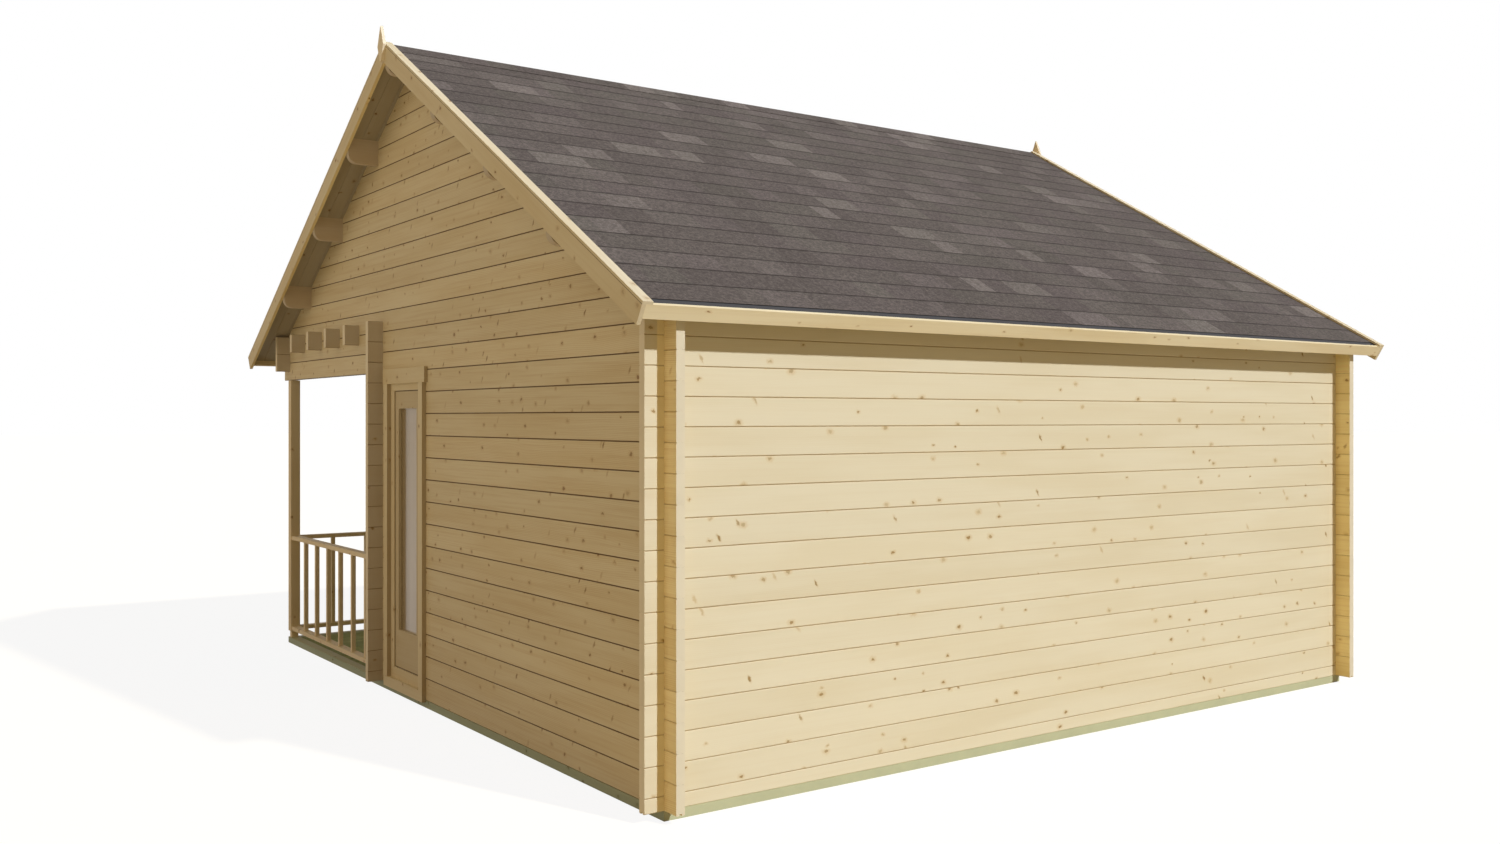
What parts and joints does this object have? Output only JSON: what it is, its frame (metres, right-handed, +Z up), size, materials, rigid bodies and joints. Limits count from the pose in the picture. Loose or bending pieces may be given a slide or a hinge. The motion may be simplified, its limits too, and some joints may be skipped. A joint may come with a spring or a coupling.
{
  "type": "log cabin",
  "caption": "Log cabin with notched log corners, a covered veranda with railings, glazed double doors, tall side windows and a shingled saddle roof.",
  "frame": {"origin": "on the ground, under the middle of the ridge", "axes": "+X along the ridge to the gable with the nearer corner in the picture, +Y to the rear wall, +Z up"},
  "size_m": [5.8016, 6.2, 4.1644],
  "materials": {
    "log_wood": "planed, untreated",
    "trim_wood": "planed, untreated",
    "joinery_wood": "planed, untreated",
    "board_wood": "planed, untreated",
    "treated_wood": "pressure treated, green",
    "shingle": "matt, gritted",
    "glass": "clear"
  },
  "bodies": {
    "root": {"foundation_beams": "treated_wood", "floor_bearers": "treated_wood", "room_floor": "board_wood", "veranda_deck": "treated_wood", "rear_wall": "log_wood", "front_wall": "log_wood", "right_side_wall": "log_wood", "left_side_wall": "log_wood", "right_gable": "log_wood", "left_gable": "log_wood", "front_beam": "log_wood", "veranda_joists": "log_wood", "corner_posts": "log_wood", "front_posts": "log_wood", "post_feet": "log_wood", "right_side_railing": "log_wood", "left_side_railing": "log_wood", "right_front_railing": "log_wood", "left_front_railing": "log_wood", "ridge_purlin": "log_wood", "rear_purlins": "log_wood", "front_purlins": "log_wood", "rear_roof_boards": "board_wood", "front_roof_boards": "board_wood", "rear_shingles": "shingle", "front_shingles": "shingle", "ridge_cap": "shingle", "right_barge_boards": "trim_wood", "left_barge_boards": "trim_wood", "right_barge_caps": "trim_wood", "left_barge_caps": "trim_wood", "rear_fascia": "trim_wood", "front_fascia": "trim_wood", "finials": "trim_wood", "right_window_trim": "trim_wood", "left_window_trim": "trim_wood", "right_window_frame": "joinery_wood", "left_window_frame": "joinery_wood", "right_window_sash": "joinery_wood", "left_window_sash": "joinery_wood", "window_glass": "glass", "door_trim": "trim_wood", "door_frame": "joinery_wood", "door_leaves": "joinery_wood", "door_glass": "glass"}
  },
  "joints": []
}
